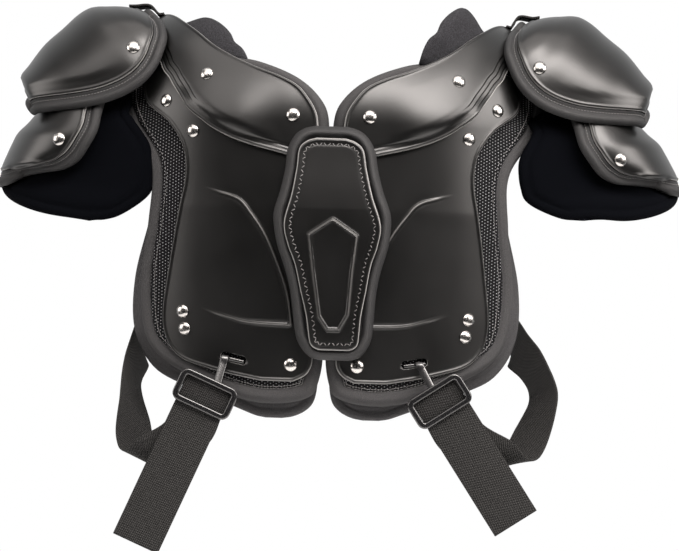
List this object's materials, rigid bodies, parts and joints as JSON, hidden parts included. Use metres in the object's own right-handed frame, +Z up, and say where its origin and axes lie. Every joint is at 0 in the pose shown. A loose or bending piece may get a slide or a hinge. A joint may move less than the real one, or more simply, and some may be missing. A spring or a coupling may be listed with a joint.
{
  "type": "football shoulder pad",
  "caption": "Padded shoulder guard with chest and back plates, shoulder arches, layered epaulets, deltoid pads, sternum pad and hooked side straps.",
  "frame": {"origin": "in the mid-plane at the height where the wearer's shoulders carry the pad, midway over the shoulders", "axes": "+X to the right as seen from the front, across the shoulders; -Y towards the front; +Z up"},
  "size_m": [0.5702, 0.2519, 0.4453],
  "materials": {
    "shell": "satin",
    "binding": "woven",
    "lining": "knitted",
    "foam": "matte",
    "heather": "heather",
    "webbing": "woven",
    "rivet": "polished",
    "hook": "semi-gloss"
  },
  "bodies": {
    "root": {"left_body_pad": "binding", "left_cap_rim": "binding", "left_flap_rim": "binding", "left_liner": "lining", "left_chest_plate": "shell", "left_back_plate": "shell", "left_shoulder_arch": "shell", "left_epaulet_cap": "shell", "left_epaulet_flap": "shell", "left_deltoid_pad": "foam", "left_neck_pad": "heather", "left_cap_hinge": "webbing", "left_side_strap": "webbing", "left_strap_hook": "hook", "left_arch_rivet": "rivet", "left_collar_rivet": "rivet", "left_strap_rivet_upper": "rivet", "left_strap_rivet_lower": "rivet", "left_side_rivet_upper": "rivet", "left_side_rivet_lower": "rivet", "left_waist_rivet": "rivet", "left_cap_rivet": "rivet", "left_flap_rivet": "rivet", "right_body_pad": "binding", "right_cap_rim": "binding", "right_flap_rim": "binding", "right_liner": "lining", "right_chest_plate": "shell", "right_back_plate": "shell", "right_shoulder_arch": "shell", "right_epaulet_cap": "shell", "right_epaulet_flap": "shell", "right_deltoid_pad": "foam", "right_neck_pad": "heather", "right_cap_hinge": "webbing", "right_side_strap": "webbing", "right_strap_hook": "hook", "right_arch_rivet": "rivet", "right_collar_rivet": "rivet", "right_strap_rivet_upper": "rivet", "right_strap_rivet_lower": "rivet", "right_side_rivet_upper": "rivet", "right_side_rivet_lower": "rivet", "right_waist_rivet": "rivet", "right_cap_rivet": "rivet", "right_flap_rivet": "rivet", "sternum_pad": "binding", "sternum_shell": "shell", "front_bridge": "webbing", "back_bridge": "webbing"}
  },
  "joints": []
}
